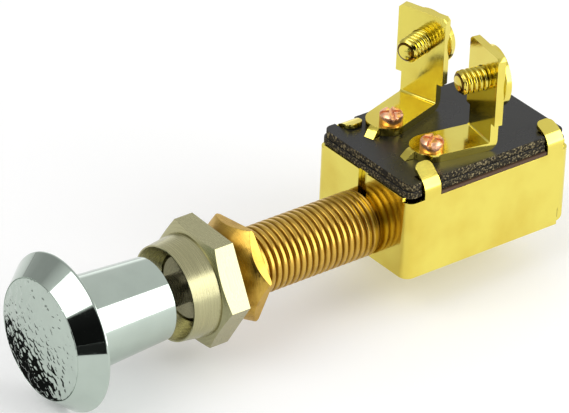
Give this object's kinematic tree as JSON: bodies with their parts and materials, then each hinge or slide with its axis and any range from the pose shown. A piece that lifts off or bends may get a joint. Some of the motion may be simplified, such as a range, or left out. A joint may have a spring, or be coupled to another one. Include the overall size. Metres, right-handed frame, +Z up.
{
  "type": "push-pull switch",
  "caption": "Panel-mounted pull switch with a bevelled chrome knob, a threaded bushing with nuts, a folded brass case and screw terminals on a fibre board.",
  "frame": {"origin": "on the shaft's axis, in the plane where the face nut seats on the front of the panel", "axes": "+Y along the shaft from the knob to the case, +Z up towards the terminals, +X to the right of someone who looks along +Y"},
  "size_m": [0.0232, 0.0832, 0.0359],
  "materials": {
    "chrome_plate": "polished",
    "nickel_plate": "satin",
    "bright_brass": "polished",
    "raw_brass": "turned",
    "copper": "satin",
    "steel": "turned",
    "black_fibre": "satin",
    "grey_fibre": "matte",
    "moulding": "satin"
  },
  "bodies": {
    "housing": {"case": "bright_brass", "bushing": "raw_brass", "face_nut": "nickel_plate", "insulator_plate": "black_fibre", "terminal_board": "black_fibre", "case_liner": "grey_fibre", "terminal_left": "bright_brass", "terminal_right": "bright_brass", "rivet_left": "copper", "rivet_right": "copper"},
    "plunger": {"knob": "chrome_plate", "shaft": "steel", "snap_ring": "steel", "contact_carrier": "moulding", "bridge_stud": "steel", "retaining_clip": "steel", "contact_spring": "steel"},
    "bridge": {"contact_bridge": "copper"},
    "clamp_nut": {"back_nut": "raw_brass"},
    "screw_left": {"terminal_screw_left": "bright_brass"},
    "screw_right": {"terminal_screw_right": "bright_brass"}
  },
  "joints": [
    {"name": "knob_pull", "type": "slide", "parent": "housing", "child": "plunger", "axis": [0, -1, 0], "range_m": [0, 0.008]},
    {"name": "bridge_press", "type": "slide", "parent": "plunger", "child": "bridge", "axis": [0, 0, -1], "range_m": [0, 0.0005], "stiffness_N_per_m": 300, "springref_m": -0.001, "deforming": ["contact_spring"]},
    {"name": "back_nut_run", "type": "slide", "parent": "housing", "child": "clamp_nut", "axis": [0, 1, 0], "range_m": [0, 0.018]},
    {"name": "screw_left_back_off", "type": "slide", "parent": "housing", "child": "screw_left", "axis": [-0.294, 0.9558, 0], "range_m": [0, 0.0035]},
    {"name": "screw_right_back_off", "type": "slide", "parent": "housing", "child": "screw_right", "axis": [0.1771, 0.9842, 0], "range_m": [0, 0.0035]}
  ]
}
